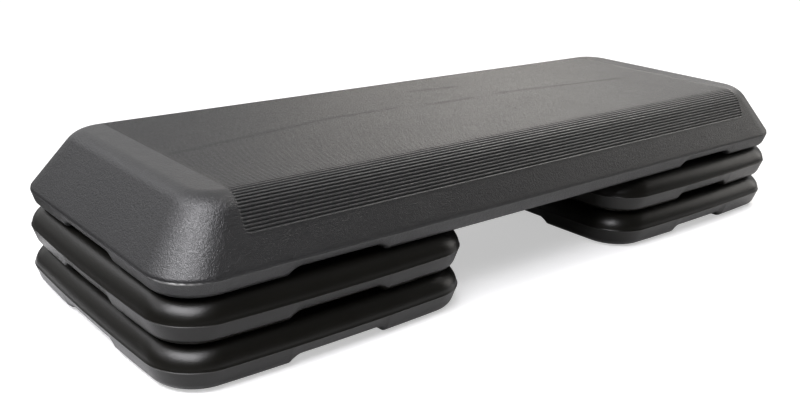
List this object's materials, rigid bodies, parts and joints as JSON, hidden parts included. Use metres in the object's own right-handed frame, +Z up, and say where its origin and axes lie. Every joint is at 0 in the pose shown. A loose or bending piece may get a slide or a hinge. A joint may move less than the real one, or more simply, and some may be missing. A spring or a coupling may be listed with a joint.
{
  "type": "aerobic step platform",
  "caption": "Long ribbed aerobic step with sloped sides, stacked on nesting square risers at both ends, with finger gaps and rubber feet.",
  "frame": {"origin": "on the floor, under the middle of the platform", "axes": "+X along the platform, +Y from its front long side to its rear one, +Z up"},
  "size_m": [1.1044, 0.416, 0.1958],
  "materials": {
    "platform_grey_hdpe": "moulded HDPE with a fine leather grain and lengthwise grip ribs",
    "riser_black_hdpe": "moulded HDPE, fine grain with a soft gloss",
    "foot_rubber": "matt moulded rubber"
  },
  "bodies": {
    "left_lower": {"left_lower_riser": "riser_black_hdpe", "left_lower_front_left_foot": "foot_rubber", "left_lower_front_right_foot": "foot_rubber", "left_lower_rear_left_foot": "foot_rubber", "left_lower_rear_right_foot": "foot_rubber"},
    "left_upper": {"left_upper_riser": "riser_black_hdpe", "left_upper_front_left_foot": "foot_rubber", "left_upper_front_right_foot": "foot_rubber", "left_upper_rear_left_foot": "foot_rubber", "left_upper_rear_right_foot": "foot_rubber"},
    "right_lower": {"right_lower_riser": "riser_black_hdpe", "right_lower_front_left_foot": "foot_rubber", "right_lower_front_right_foot": "foot_rubber", "right_lower_rear_left_foot": "foot_rubber", "right_lower_rear_right_foot": "foot_rubber"},
    "right_upper": {"right_upper_riser": "riser_black_hdpe", "right_upper_front_left_foot": "foot_rubber", "right_upper_front_right_foot": "foot_rubber", "right_upper_rear_left_foot": "foot_rubber", "right_upper_rear_right_foot": "foot_rubber"},
    "deck": {"platform": "platform_grey_hdpe", "platform_left_end_front_left_foot": "foot_rubber", "platform_left_end_front_right_foot": "foot_rubber", "platform_left_end_rear_left_foot": "foot_rubber", "platform_left_end_rear_right_foot": "foot_rubber", "platform_right_end_front_left_foot": "foot_rubber", "platform_right_end_front_right_foot": "foot_rubber", "platform_right_end_rear_left_foot": "foot_rubber", "platform_right_end_rear_right_foot": "foot_rubber"}
  },
  "joints": [
    {"name": "upper_riser_lift", "type": "slide", "parent": "left_lower", "child": "left_upper", "axis": [0, 0, 1], "range_m": [0, 0.1]},
    {"name": "platform_lift", "type": "slide", "parent": "left_upper", "child": "deck", "axis": [0, 0, 1], "range_m": [0, 0.1]},
    {"name": "right_upper_rest", "type": "slide", "parent": "deck", "child": "right_upper", "axis": [0, 0, -1], "range_m": [0, 0.1]},
    {"name": "right_lower_rest", "type": "slide", "parent": "right_upper", "child": "right_lower", "axis": [0, 0, -1], "range_m": [0, 0.1]}
  ],
  "couplings": [
    {"joint": "right_upper_rest", "follows": "platform_lift", "ratio": 1},
    {"joint": "right_lower_rest", "follows": "upper_riser_lift", "ratio": 1}
  ]
}
